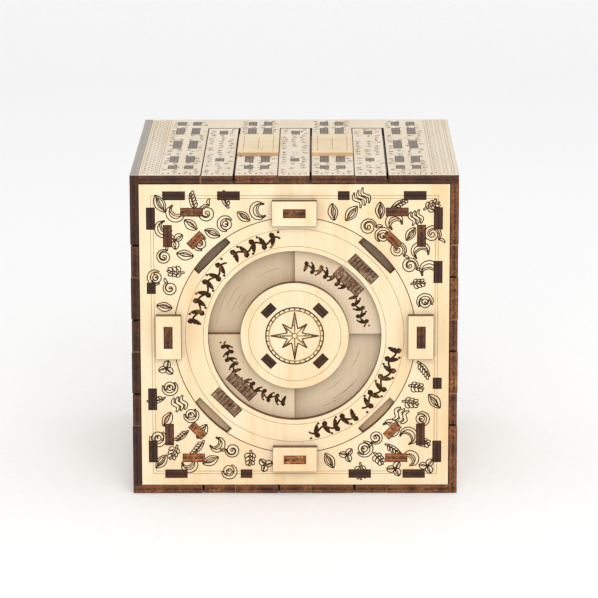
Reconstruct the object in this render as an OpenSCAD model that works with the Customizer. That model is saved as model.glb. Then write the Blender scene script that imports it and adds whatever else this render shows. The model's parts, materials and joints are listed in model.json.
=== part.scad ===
// Laser-cut plywood cryptex cube: a round dial on the front face, three sliding strips in each of
// the four sides, two press tiles on top and a locked drawer behind.
// Each side is modelled once, facing up, and turned about the dial's axis into its place.

/* [Case] */
// Outside length of each edge of the cube
cube_side = 120; // [119:1:124]
// Thickness of the birch plywood that every piece is cut from
ply = 3; // [2.9:0.1:3]
// Gap between the front and back panels and the boards around them
panel_gap = 0.2; // [0.1:0.1:0.4]
// Width of each small diagonal corner brace
gusset_w = 21.6; // [16:0.2:21.6]

/* [Sliding strips] */
// Distance between the strips' centre lines
strip_pitch = 28; // [27.5:0.5:28]
// Width of a sliding strip
strip_w = 11.6; // [10.6:0.1:11.6]
// Gap on the narrow side of a strip
narrow_gap = 0.2; // [0.1:0.05:0.3]
// Gap on the wide side of a strip
wide_gap = 0.7; // [0.4:0.1:0.9]
// How far a strip slides out of the front
slider_travel = 20; // [12:1:20]
// Length of the solid band behind the strips' slots
back_band = 20; // [16:1:22]

/* [Dial] */
// Outer radius of the dial ring
ring_r = 44.5; // [44.2:0.1:44.5]
// Radius of the opening inside the dial ring
ring_hole_r = 31.8; // [30.8:0.2:32.4]
// Radius of the hub cap
hub_r = 20; // [19:0.5:21]
// Radius of the discs that turn in the dial seat
rotor_r = 39.95; // [39.9:0.01:39.97]
// Radius of the dial seat's bore
seat_r = 40; // [40:0.01:40.02]
// Length and width of a keeper clip
clip_size = [16.4, 9.4];
// Radius of the lock spindle
spindle_r = 4.95; // [4.9:0.01:4.97]
// Length and width of the lock bar
bar_size = [40, 10];

/* [Press tiles] */
// Length of a press tile along the strip
tile_len = 40; // [30:1:40]
// How far a press tile stands above the top board
tile_proud = 1.2; // [0.6:0.1:1.4]

/* [Drawer] */
// Width and height of the drawer's face
drawer_face_w = 84; // [83.8:0.1:84]
// Radius of the finger hole in the drawer's face
finger_hole_r = 9; // [7:0.5:11]

/* [Hidden] */
$fn = 96;
cut = 0.5;          // how far a cutting shape runs past the face that it cuts
fit = 0.05;         // gap round a tenon or between two glued pieces
running = 0.15;     // gap above and below a sliding piece
half = cube_side / 2;
front = -half;      // the front face, in the frame centred on the cube
back = half;
clip_proud = ply;   // the keeper clips stand one sheet in front of the face

// distances from the dial's axis to the sheets of one side, from the outside inwards
board_in = half - ply;
rib_in = board_in - ply;
deck_in = rib_in - ply;
wall_in = half - 15.1;
wall_out = wall_in + ply;

// the stack of sheets behind the front face
panel_back = front + ply;
shutter_back = front + 2 * ply;
base_back = front + 3 * ply;
gate_back = front + 4 * ply;
bulkhead_front = front + 38;
bulkhead_back = bulkhead_front + ply;
drawer_front = bulkhead_back + 0.5;
bar_front = drawer_front + ply + 0.5;
flange_back = bulkhead_front - 0.2;
flange_front = flange_back - ply;

// sliding strips and what runs under them
strip_left = -strip_w / 2 - 0.2;
slot_edges = [strip_left - narrow_gap, strip_left + strip_w + wide_gap];
slot_back = back - back_band;
channel_w = 19;
runner_w = channel_w - 4 * running;
runner_low = rib_in + running;
runner_top = board_in - running;
runner_front = panel_back + slider_travel + 0.2;
runner_back = back - 8;
peg_front = [-30.9, -24.4];
peg_rear = [26.5, 34.5];
key_tip = 36.2;
key_slot = [peg_front[0] - slider_travel - 0.5, peg_front[1] + 0.4];

// ribs stand beside the channels, two to each fixed strip
rib_places = [-45, -39, -17, -11, 11, 17, 39, 45];
rib_ends = [front + 8, back - ply];
rib_rows = [[-47, -40], [-33.5, -21], [-5, 12], [26, 40], [46, 54]];
tile_rows = [for (row = rib_rows) if (row[1] < -tile_len / 2 || row[0] > tile_len / 2) row];
rib_feet = [[-16, -8], [14, 22]];

// tenons through the front and back panels: [place along the side, width]
deck_tenons = [[-44, 8], [-24, 8], [18, 4], [44, 8]];
wall_tenons = [[-37.5, 8], [37.5, 8]];
clip_tenon = [0, 8];
bulkhead_tenons = [[-20, 8], [20, 8]];

// dial details
clip_in = 41.6;
notch_floor = clip_in - 0.2;
notch_w = clip_size[0] + 0.1;
window_r = [18, 34];
block_r = [26, 37.6];
block_leg = 4;
block_plates = 4;
block_w = block_plates * ply;
column_r = 12;
column_w = 20;
column_tenon_w = 5;
gusset_d = 49.4;
gusset_tenon_w = 6.5;

// press tiles stand in the fixed strips on both sides of the top's centre strip
tile_edges = [[-strip_pitch + slot_edges[1], slot_edges[0]], [slot_edges[1], strip_pitch + slot_edges[0]]];
tile_gap = 0.15;
stem_t = 2.4;
stem_len = 48;
neck_len = 36;

// drawer
drawer_r = drawer_face_w / 2 - 0.2;
drawer_back = back - ply;
finger_places = [-20, 20];
finger_w = 8;
rail_w = 6;

SIDES = ["top", "right", "bottom", "left"];
// every sliding strip: [name, side, lane]
SLIDERS = [
    ["top_left", 0, -1], ["top_centre", 0, 0], ["top_right", 0, 1],
    ["right_upper", 1, -1], ["right_centre", 1, 0], ["right_lower", 1, 1],
    ["bottom_right", 2, -1], ["bottom_centre", 2, 0], ["bottom_left", 2, 1],
    ["left_lower", 3, -1], ["left_centre", 3, 0], ["left_upper", 3, 1]
];

// The origin is at the middle of the bottom of the whole object's box, and the box includes the clips.
module in_cube() {
    translate([0, clip_proud / 2, half]) children();
}

// Turns something modelled facing up onto side 0 top, 1 right, 2 bottom or 3 left.
module on_side(side) {
    in_cube() rotate([0, 90 * side, 0]) children();
}

// A block from one corner to the opposite one.
module block(low, high) {
    translate(low) cube(high - low);
}

// A disc in the dial's stack between two distances from the front.
module disc(r, y0, y1) {
    translate([0, y1, 0]) rotate([90, 0, 0]) cylinder(r = r, h = y1 - y0);
}

// A block in the dial's stack that points outwards at an angle from the right.
module spoke(angle, r, w, y) {
    rotate([0, -angle, 0]) block([r[0], y[0], -w / 2], [r[1], y[1], w / 2]);
}

// ---------- the four sides ----------

// One outer board with the three strips' slots, open to the front, and the ribs' tenon slots.
module comb_board(tiled = false) {
    difference() {
        block([-board_in, front, board_in], [half, back, half]);
        for (lane = [-1:1]) {
            translate([lane * strip_pitch, 0, 0])
                block([slot_edges[0], front - cut, board_in - cut], [slot_edges[1], slot_back, half + cut]);
        }
        if (tiled) {
            for (e = tile_edges) {
                block([e[0] - cut, front - cut, board_in - cut], [e[1] + cut, tile_len / 2 + tile_gap, half + cut]);
            }
        }
        for (u = rib_places) {
            rib_slots(u, tiled);
        }
    }
}

// Slots through the outer board for one rib's tenons.
module rib_slots(u, tiled) {
    for (row = tiled && abs(u) < strip_pitch ? tile_rows : rib_rows) {
        block([u - ply / 2 - fit, row[0] - fit, board_in - cut], [u + ply / 2 + fit, row[1] + fit, half + cut]);
    }
}

// The two short strips in front of the press tiles, held only by the ribs' tenons.
module top_front_strips() {
    color("wheat") on_side(0) difference() {
        for (e = tile_edges) {
            block([e[0], front, board_in], [e[1], -tile_len / 2 - tile_gap, half]);
        }
        for (u = rib_places) {
            rib_slots(u, true);
        }
    }
}

// One rib: it stands on the deck, carries the outer board and guides the runners.
module rib(u, tiled) {
    side = [u - ply / 2, u + ply / 2];
    block([side[0], rib_ends[0], rib_in + fit], [side[1], rib_ends[1], board_in]);
    for (row = tiled && abs(u) < strip_pitch ? tile_rows : rib_rows) {
        block([side[0], row[0], board_in - cut], [side[1], row[1], half]);
    }
    for (foot = rib_feet) {
        block([side[0], foot[0], deck_in], [side[1], foot[1], board_in - cut]);
    }
}

module side_ribs() {
    color("saddlebrown") for (side = [0:3]) on_side(side) {
        for (u = rib_places) {
            rib(u, side == 0);
        }
    }
}

// Tenons at both ends of a deck or an inner wall, through the front and back panels.
module end_tenons(list, low, high) {
    for (t = list) {
        block([t[0] - t[1] / 2, front, low], [t[0] + t[1] / 2, panel_back + cut, high]);
        block([t[0] - t[1] / 2, back - ply - cut, low], [t[0] + t[1] / 2, back, high]);
    }
}

// The deck that the ribs stand on, under each outer board.
module deck() {
    difference() {
        union() {
            block([-deck_in, panel_back, deck_in], [rib_in, back - ply, rib_in]);
            end_tenons(deck_tenons, deck_in, rib_in);
        }
        key_window(deck_in);
        for (u = rib_places) {
            for (foot = rib_feet) {
                block([u - ply / 2 - fit, foot[0] - fit, deck_in - cut],
                      [u + ply / 2 + fit, foot[1] + fit, rib_in + cut]);
            }
        }
    }
}

// The long opening that a centre strip's key slides in.
module key_window(low) {
    block([-ply / 2 - 0.2, key_slot[0], low - cut], [ply / 2 + 0.2, key_slot[1], low + ply + cut]);
}

// The wall of the inner case: its middle tenon reaches through the front panel and holds a keeper clip.
module inner_wall() {
    difference() {
        union() {
            block([-wall_in, panel_back, wall_in], [wall_out, back - ply, wall_out]);
            end_tenons(concat(wall_tenons, [clip_tenon]), wall_in, wall_out);
            block([-clip_tenon[1] / 2, front - clip_proud, wall_in], [clip_tenon[1] / 2, panel_back + cut, wall_out]);
        }
        key_window(wall_in);
        for (t = bulkhead_tenons) {
            block([t[0] - t[1] / 2 - fit, bulkhead_front - fit, wall_in - cut],
                  [t[0] + t[1] / 2 + fit, bulkhead_back + fit, wall_out + cut]);
        }
    }
}

// One sliding strip: it lies just under the outside face, so the cube never stands on it.
module strip(lane) {
    translate([lane * strip_pitch, 0, 0]) difference() {
        block([strip_left, front, runner_top], [strip_left + strip_w, slot_back, runner_top + ply]);
        peg_slots(runner_top);
    }
}

// Slots for a slider's two pegs, in the strip or in the runner.
module peg_slots(low) {
    for (p = [peg_front, peg_rear]) {
        block([-ply / 2 - fit, p[0] - fit, low - cut], [ply / 2 + fit, p[1] + fit, low + ply + cut]);
    }
}

// The wide runner under a strip, with its pegs. A centre runner's front peg is long and is the lock's key.
module runner(lane) {
    translate([lane * strip_pitch, 0, 0]) {
        difference() {
            block([-runner_w / 2, runner_front, runner_low], [runner_w / 2, runner_back, runner_top]);
            peg_slots(runner_low);
        }
        block([-ply / 2, peg_front[0], lane == 0 ? key_tip : runner_low], [ply / 2, peg_front[1], runner_top + ply]);
        block([-ply / 2, peg_rear[0], runner_low], [ply / 2, peg_rear[1], runner_top + ply]);
    }
}

// ---------- front and back ----------

// Slots in the front or back panel for the tenons of the decks and inner walls.
module panel_slots(y) {
    for (side = [0:3]) rotate([0, 90 * side, 0]) {
        for (t = deck_tenons) {
            block([t[0] - t[1] / 2 - fit, y[0], deck_in - fit], [t[0] + t[1] / 2 + fit, y[1], rib_in + fit]);
        }
        for (t = wall_tenons) {
            block([t[0] - t[1] / 2 - fit, y[0], wall_in - fit], [t[0] + t[1] / 2 + fit, y[1], wall_out + fit]);
        }
    }
}

module front_panel() {
    edge = board_in - panel_gap;
    color("wheat") in_cube() difference() {
        block([-edge, front, -edge], [edge, panel_back, edge]);
        disc(ring_r + 0.1, front - cut, panel_back + cut);
        panel_slots([front - cut, panel_back + cut]);
        for (side = [0:3]) {
            spoke(90 * side, [seat_r, wall_out + fit], clip_tenon[1] + 2 * fit, [front - cut, panel_back + cut]);
            spoke(45 + 90 * side, [gusset_d - fit, gusset_d + ply + fit], gusset_tenon_w + 2 * fit,
                  [front - cut, panel_back + cut]);
        }
    }
}

module back_panel() {
    edge = board_in - panel_gap;
    hole = drawer_face_w / 2 + 0.2;
    color("wheat") in_cube() difference() {
        block([-edge, back - ply, -edge], [edge, back, edge]);
        block([-hole, back - ply - cut, -hole], [hole, back + cut, hole]);
        panel_slots([back - ply - cut, back + cut]);
        for (side = [0:3]) {
            spoke(90 * side, [wall_in - fit, wall_out + fit], clip_tenon[1] + 2 * fit, [back - ply - cut, back + cut]);
        }
    }
}

// The fixed plate behind the front panel: the dial ring lies on it and the dial's discs turn in its bore.
module dial_seat() {
    edge = wall_in - 0.2;
    corner = gusset_d - 0.1;
    color("tan") in_cube() difference() {
        block([-edge, panel_back, -edge], [edge, shutter_back, edge]);
        disc(seat_r, panel_back - cut, shutter_back + cut);
        for (side = [0:3]) {
            spoke(45 + 90 * side, [corner, corner + 20], 60, [panel_back - cut, shutter_back + cut]);
        }
    }
}

// The cross wall that closes the dial's chamber and carries the lock spindle.
module bulkhead() {
    edge = wall_in - fit;
    color("tan") in_cube() difference() {
        union() {
            block([-edge, bulkhead_front, -edge], [edge, bulkhead_back, edge]);
            for (side = [0:3]) rotate([0, 90 * side, 0]) {
                for (t = bulkhead_tenons) {
                    block([t[0] - t[1] / 2, bulkhead_front, edge - cut], [t[0] + t[1] / 2, bulkhead_back, wall_out]);
                }
            }
        }
        disc(spindle_r + 0.05, bulkhead_front - cut, bulkhead_back + cut);
    }
}

// Diagonal braces across the corners of the dial's chamber, with a tenon through the front panel.
module corner_gussets() {
    color("sienna") in_cube() for (side = [0:3]) {
        spoke(45 + 90 * side, [gusset_d, gusset_d + ply], gusset_w, [panel_back, bulkhead_front]);
        spoke(45 + 90 * side, [gusset_d, gusset_d + ply], gusset_tenon_w, [front, panel_back + cut]);
    }
}

// Four clips that keep the dial ring in. They match the ring's notches after a 45 degree turn.
module keeper_clips() {
    color("wheat") in_cube() for (side = [0:3]) difference() {
        spoke(90 * side, [clip_in, clip_in + clip_size[1]], clip_size[0], [front - clip_proud, front]);
        spoke(90 * side, [wall_in - fit, wall_out + fit], clip_tenon[1] + 2 * fit, [front - clip_proud - cut, front + cut]);
    }
}

// ---------- the dial ----------

// Slots for the four column plates' front tenons, through one sheet of the dial.
module column_slots(y) {
    for (side = [0:3]) {
        spoke(45 + 90 * side, [column_r - fit, column_r + ply + fit], column_tenon_w + 2 * fit, y);
    }
}

// Slots for one leg of the two drive blocks.
module block_slots(r, y) {
    for (angle = [45, 225]) {
        spoke(angle, [r[0] - fit, r[1] + fit], block_w + 2 * fit, y);
    }
}

module dial_ring() {
    color("wheat") in_cube() difference() {
        disc(ring_r, front, panel_back);
        disc(ring_hole_r, front - cut, panel_back + cut);
        for (side = [0:3]) {
            spoke(45 + 90 * side, [notch_floor, ring_r + cut], notch_w, [front - cut, panel_back + cut]);
        }
        block_slots([block_r[1] - block_leg, block_r[1]], [front - cut, panel_back + cut]);
    }
}

// A quarter of a ring between two radii, from an angle to 90 degrees past it.
module quarter(angle, r, y) {
    rotate([0, -angle, 0]) translate([0, y[1], 0]) rotate([90, 0, 0]) rotate_extrude(angle = 90)
        translate([r[0], 0]) square([r[1] - r[0], y[1] - y[0]]);
}

// The plate behind the ring, with two quarter windows that show the base disc.
module dial_shutter() {
    y = [panel_back - cut, shutter_back + cut];
    color("antiquewhite") in_cube() difference() {
        disc(rotor_r, panel_back, shutter_back);
        quarter(90, window_r, y);
        quarter(270, window_r, y);
        column_slots(y);
        block_slots([block_r[1] - block_leg, block_r[1]], y);
        block_slots([block_r[0], block_r[0] + block_leg], y);
    }
}

module dial_base() {
    y = [shutter_back - cut, base_back + cut];
    color("tan") in_cube() difference() {
        disc(rotor_r, shutter_back, base_back);
        column_slots(y);
        block_slots(block_r, y);
    }
}

// The disc that the four keys drop into: its notches line up with them at every quarter turn.
module gate_disc() {
    y = [base_back - cut, gate_back + cut];
    color("burlywood") in_cube() difference() {
        disc(rotor_r, base_back, gate_back);
        column_slots(y);
        for (side = [0:3]) {
            spoke(90 * side, [key_tip - 0.4, rotor_r + cut], ply + 0.8, y);
        }
    }
}

module hub_cap() {
    color("wheat") in_cube() difference() {
        disc(hub_r, front, panel_back);
        column_slots([front - cut, panel_back + cut]);
    }
}

// Two blocks of four plates. Each plate is a C: one leg ends in the ring, one in the shutter, and its back
// lies in the base disc, so that the three turn together.
module drive_blocks() {
    leg = fit / 2;
    color("sienna") in_cube() for (angle = [45, 225]) for (i = [0:block_plates - 1]) {
        rotate([0, -angle, 0]) translate([0, 0, (i - block_plates / 2 + 0.5) * ply]) {
            block([block_r[0], shutter_back, leg - ply / 2], [block_r[1], base_back, ply / 2 - leg]);
            block([block_r[0], panel_back, leg - ply / 2], [block_r[0] + block_leg, shutter_back + cut, ply / 2 - leg]);
            block([block_r[1] - block_leg, front, leg - ply / 2], [block_r[1], shutter_back + cut, ply / 2 - leg]);
        }
    }
}

// The square column of four plates that joins the dial's discs to the lock spindle.
module dial_column() {
    color("peru") in_cube() for (side = [0:3]) {
        spoke(45 + 90 * side, [column_r, column_r + ply], column_w, [gate_back, flange_front]);
        spoke(45 + 90 * side, [column_r, column_r + ply], column_tenon_w, [front, gate_back + cut]);
        spoke(45 + 90 * side, [column_r, column_r + ply], column_tenon_w, [flange_front - cut, flange_back]);
    }
}

// The flange on the column's end and the shaft that runs through the bulkhead.
module lock_spindle() {
    color("burlywood") in_cube() {
        difference() {
            disc(column_r + ply + 1.5, flange_front, flange_back);
            column_slots([flange_front - cut, flange_back + cut]);
        }
        disc(spindle_r, flange_back - cut, bar_front + ply);
    }
}

// The bar that stands behind the drawer's front wall. It passes the keyhole only when it lies level.
module lock_bar() {
    color("peru") in_cube() difference() {
        block([-bar_size[0] / 2, bar_front, -bar_size[1] / 2], [bar_size[0] / 2, bar_front + ply, bar_size[1] / 2]);
        disc(spindle_r + fit, bar_front - cut, bar_front + ply + cut);
    }
}

// ---------- the drawer ----------

// Notches along an edge of a drawer piece for the fingers of the next piece, open to the edge.
module finger_notches(y) {
    for (turn = [1:3]) rotate([0, 90 * turn, 0]) {
        for (p = finger_places) {
            block([p - finger_w / 2 - fit, y[0], drawer_r - ply - fit], [p + finger_w / 2 + fit, y[1], drawer_r + 1]);
        }
    }
}

module drawer_face() {
    edge = drawer_face_w / 2;
    color("wheat") in_cube() difference() {
        block([-edge, drawer_back, -edge], [edge, back, edge]);
        disc(finger_hole_r, drawer_back - cut, back + cut);
        finger_notches([drawer_back - cut, back + cut]);
    }
}

// One drawer side with its fingers through the face and the front wall.
module drawer_side() {
    block([drawer_r - ply, drawer_front + ply + fit, -drawer_r], [drawer_r, drawer_back - fit, drawer_r]);
    for (p = finger_places) {
        block([drawer_r - ply, drawer_front, p - finger_w / 2], [drawer_r, back, p + finger_w / 2]);
    }
}

module drawer_sides() {
    color("burlywood") in_cube() {
        drawer_side();
        mirror([1, 0, 0]) drawer_side();
    }
}

// The wall that the lock bar holds, with its keyhole.
module drawer_front_wall() {
    y = [drawer_front - cut, drawer_front + ply + cut];
    slot = [bar_size[0] / 2 + 0.5, bar_size[1] / 2 + 0.5];
    color("tan") in_cube() difference() {
        block([-drawer_r, drawer_front, -drawer_r], [drawer_r, drawer_front + ply, drawer_r]);
        block([-slot[0], y[0], -slot[1]], [slot[0], y[1], slot[1]]);
        disc(spindle_r + 1.5, y[0], y[1]);
        finger_notches(y);
    }
}

module drawer_floor() {
    inner = drawer_r - ply - fit;
    color("burlywood") in_cube() {
        block([-inner, drawer_front + ply + fit, -drawer_r], [inner, drawer_back - fit, ply - drawer_r]);
        for (p = finger_places) {
            block([p - finger_w / 2, drawer_front, -drawer_r], [p + finger_w / 2, back, ply - drawer_r]);
        }
    }
}

// Two rails under the drawer and one beside each of its sides, glued to the inner walls.
module drawer_rails() {
    y = [drawer_front + ply + 0.5, back - ply - 1];
    color("saddlebrown") in_cube() {
        for (x = [-31, 31]) {
            block([x - rail_w / 2, y[0], -wall_in], [x + rail_w / 2, y[1], -drawer_r - 0.1]);
        }
        block([drawer_r + 0.1, y[0], -rail_w / 2], [wall_in, y[1], rail_w / 2]);
        block([-wall_in, y[0], -rail_w / 2], [-drawer_r - 0.1, y[1], rail_w / 2]);
    }
}

// ---------- the press tiles ----------

// A raised tile on a stem. The stem's shoulders catch under the board, and its foot stops on the deck.
module press_tile(edges) {
    middle = (edges[0] + edges[1]) / 2;
    foot = rib_in + running + tile_proud - 0.05;
    on_side(0) {
        block([edges[0], -tile_len / 2, board_in + tile_proud], [edges[1], tile_len / 2, half + tile_proud]);
        block([middle - stem_t / 2, -stem_len / 2, foot], [middle + stem_t / 2, stem_len / 2, board_in]);
        block([middle - stem_t / 2, -neck_len / 2, foot + cut], [middle + stem_t / 2, neck_len / 2, board_in + tile_proud]);
    }
}

module left_press_tile() {
    color("moccasin") press_tile(tile_edges[0]);
}

module right_press_tile() {
    color("moccasin") press_tile(tile_edges[1]);
}

// ---------- what is drawn ----------

for (i = [0:3]) {
    color("wheat") on_side(i) comb_board(i == 0);
    color("burlywood") on_side(i) deck();
    color("sienna") on_side(i) inner_wall();
}
for (s = SLIDERS) {
    color("wheat") on_side(s[1]) strip(s[2]);
    color("sienna") on_side(s[1]) runner(s[2]);
}
top_front_strips();
side_ribs();
front_panel();
back_panel();
dial_seat();
bulkhead();
corner_gussets();
keeper_clips();
drawer_rails();
dial_ring();
dial_shutter();
dial_base();
gate_disc();
hub_cap();
drive_blocks();
dial_column();
lock_spindle();
lock_bar();
drawer_face();
drawer_sides();
drawer_front_wall();
drawer_floor();
left_press_tile();
right_press_tile();
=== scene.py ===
"""Looks of the plywood cryptex cube: every CAD sheet gets crisp, slightly scorched edges, engraved ornament
and birch, burnt-edge and engraving materials. Lengths are in millimetres, but the stage's are in metres."""

import json
import math
import random

import bmesh
import bpy
import mathutils.geometry
import numpy as np
from mathutils import Matrix, Vector


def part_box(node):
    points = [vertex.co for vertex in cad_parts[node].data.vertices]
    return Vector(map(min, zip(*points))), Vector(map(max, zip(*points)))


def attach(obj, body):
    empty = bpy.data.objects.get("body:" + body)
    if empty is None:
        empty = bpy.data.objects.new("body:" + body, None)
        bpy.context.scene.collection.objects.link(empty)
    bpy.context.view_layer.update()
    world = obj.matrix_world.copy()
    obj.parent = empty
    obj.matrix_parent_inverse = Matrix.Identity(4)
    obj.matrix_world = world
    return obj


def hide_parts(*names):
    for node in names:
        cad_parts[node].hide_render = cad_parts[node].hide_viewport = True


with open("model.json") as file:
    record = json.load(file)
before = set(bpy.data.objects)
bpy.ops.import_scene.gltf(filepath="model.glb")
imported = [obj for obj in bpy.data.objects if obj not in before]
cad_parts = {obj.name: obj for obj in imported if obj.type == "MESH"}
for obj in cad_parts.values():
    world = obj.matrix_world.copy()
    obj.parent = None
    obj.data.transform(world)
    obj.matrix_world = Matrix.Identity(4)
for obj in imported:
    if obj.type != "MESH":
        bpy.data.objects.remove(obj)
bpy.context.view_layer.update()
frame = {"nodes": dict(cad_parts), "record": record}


def mm(value):
    """Millimetres as metres."""
    return value * 0.001


def in_mm(value):
    """Metres as millimetres."""
    return value * 1000


# ---------- measures from the frame ----------

FRONT = in_mm(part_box("front_panel")[0].y)
BACK = in_mm(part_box("back_panel")[1].y)
MID_Y = (FRONT + BACK) / 2
HALF = (BACK - FRONT) / 2
AXIS_Z = HALF
PLY = in_mm(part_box("front_panel")[1].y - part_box("front_panel")[0].y)
SIDES = ("top", "right", "bottom", "left")

# ---------- sizes of the finish ----------

PLATE_CHAMFER = 0.11
# How deep the broad and the fine engraved lines are, and how wide a fine line is.
DARK_DEPTH = 0.30
FINE_DEPTH = 0.12
FINE_LINE = 0.16
# Heights closer than this are taken as one.
SAME_LEVEL = 0.02


# ---------- materials ----------

class Nodes:
    """Builds one material's node tree in short lines."""

    def __init__(self, name):
        self.material = bpy.data.materials.new(name)
        self.material.use_nodes = True
        self.tree = self.material.node_tree
        self.shader = self.tree.nodes["Principled BSDF"]

    def add(self, kind, **values):
        """A new node, with the given properties and unlinked inputs."""
        node = self.tree.nodes.new(kind)
        for key, value in values.items():
            if hasattr(node, key):
                setattr(node, key, value)
            else:
                node.inputs[key.replace("_", " ")].default_value = value
        return node

    def link(self, out, into):
        self.tree.links.new(out, into)

    def attribute(self, name):
        return self.add("ShaderNodeAttribute", attribute_name=name)

    def stretched_noise(self, vector, scale, detail=3.0, roughness=0.55, distortion=0.0):
        """Noise at so many cells a millimetre across the grain, along it and through the sheet."""
        mapping = self.add("ShaderNodeMapping")
        mapping.inputs["Scale"].default_value = scale
        self.link(vector, mapping.inputs["Vector"])
        noise = self.add("ShaderNodeTexNoise", Scale=1.0, Detail=detail, Roughness=roughness,
                         Distortion=distortion)
        self.link(mapping.outputs["Vector"], noise.inputs["Vector"])
        return noise.outputs["Fac"]

    def ramp(self, factor, stops):
        """A colour ramp through (position, grey or colour) stops."""
        node = self.add("ShaderNodeValToRGB")
        elements = node.color_ramp.elements
        while len(elements) < len(stops):
            elements.new(0.5)
        for element, (position, colour) in zip(elements, stops):
            element.position = position
            element.color = (colour, colour, colour, 1) if isinstance(colour, (int, float)) else (*colour, 1)
        self.link(factor, node.inputs["Fac"])
        return node.outputs["Color"]

    def mix(self, a, b, factor, blend="MIX"):
        """Mixes two colours. Each may be a socket or a colour."""
        node = self.add("ShaderNodeMix", data_type="RGBA", blend_type=blend)
        for socket, value in ((node.inputs[6], a), (node.inputs[7], b), (node.inputs[0], factor)):
            if isinstance(value, bpy.types.NodeSocket):
                self.link(value, socket)
            elif isinstance(value, (int, float)):
                socket.default_value = value
            else:
                socket.default_value = (*value, 1)
        return node.outputs[2]

    def math(self, operation, a, b):
        node = self.add("ShaderNodeMath", operation=operation)
        for socket, value in ((node.inputs[0], a), (node.inputs[1], b)):
            if isinstance(value, bpy.types.NodeSocket):
                self.link(value, socket)
            else:
                socket.default_value = value
        return node.outputs[0]

    def range(self, value, low, high, to_low, to_high):
        node = self.add("ShaderNodeMapRange")
        for i, number in enumerate((low, high, to_low, to_high), start=1):
            node.inputs[i].default_value = number
        self.link(value, node.inputs[0])
        return node.outputs[0]

    def bump(self, height, strength, distance):
        node = self.add("ShaderNodeBump", Strength=strength, Distance=distance)
        self.link(height, node.inputs["Height"])
        self.link(node.outputs["Normal"], self.shader.inputs["Normal"])

    def finish(self, colour, roughness, specular):
        self.link(colour, self.shader.inputs["Base Color"])
        if isinstance(roughness, bpy.types.NodeSocket):
            self.link(roughness, self.shader.inputs["Roughness"])
        else:
            self.shader.inputs["Roughness"].default_value = roughness
        self.shader.inputs["Specular IOR Level"].default_value = specular
        return self.material


def srgb(r, g, b):
    """A colour given as it looks on screen, 0 to 255, as the linear colour that shaders use."""
    def linear(c):
        c /= 255
        return c / 12.92 if c <= 0.04045 else ((c + 0.055) / 1.055) ** 2.4
    return (linear(r), linear(g), linear(b))


def birch(name, pale, warm, fleck, band=1.0, tone_dark=0.93):
    """Rotary-cut birch face: pale, with faint broad warm bands, fine fibres and short brown flecks. The tone
    attribute runs from tone_dark to full brightness."""
    n = Nodes(name)
    grain = n.attribute("grain").outputs["Vector"]
    tone = n.attribute("tone").outputs["Fac"]
    bands = n.stretched_noise(grain, (0.075, 0.008, 0.075), 2.0, 0.5, 0.6)
    fine_bands = n.stretched_noise(grain, (0.55, 0.025, 0.55), 2.0, 0.6, 0.3)
    fibres = n.stretched_noise(grain, (5.5, 0.16, 5.5), 3.0, 0.65)
    flecks = n.stretched_noise(grain, (2.2, 0.32, 2.2), 2.0, 0.5)
    clouds = n.stretched_noise(grain, (0.028, 0.02, 0.03), 2.0, 0.5)
    broad = n.ramp(bands, [(0.42, 0.0), (0.72, 1.0)])
    narrow = n.ramp(fine_bands, [(0.45, 0.0), (0.8, 1.0)])
    warmth = n.mix(broad, narrow, 0.35)
    warmth = n.mix(warmth, n.ramp(clouds, [(0.4, 0.0), (0.75, 1.0)]), 0.3)
    colour = n.mix(pale, warm, n.math("MULTIPLY", warmth, band))
    colour = n.mix(colour, fleck, n.math("MULTIPLY", n.ramp(flecks, [(0.66, 0.0), (0.8, 1.0)]), 0.32))
    shade = n.ramp(fibres, [(0.25, 0.93), (0.75, 1.03)])
    colour = n.mix(colour, shade, 1.0, "MULTIPLY")
    colour = n.mix(colour, n.ramp(tone, [(0.0, tone_dark), (1.0, 1.02)]), 1.0, "MULTIPLY")
    n.bump(fibres, 0.25, mm(0.05))
    return n.finish(colour, n.range(fibres, 0.2, 0.8, 0.42, 0.58), 0.4)


# How bare of char a sheet is at each share of its depth: its two outer plies are, its core and faces aren't.
BARE_PLIES = ((0.0, 0.0), (0.07, 0.15), (0.16, 1.0), (0.27, 0.9), (0.36, 0.08), (0.5, 0.0),
              (0.64, 0.08), (0.73, 0.9), (0.86, 1.0), (0.94, 0.15), (1.0, 0.0))


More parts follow.
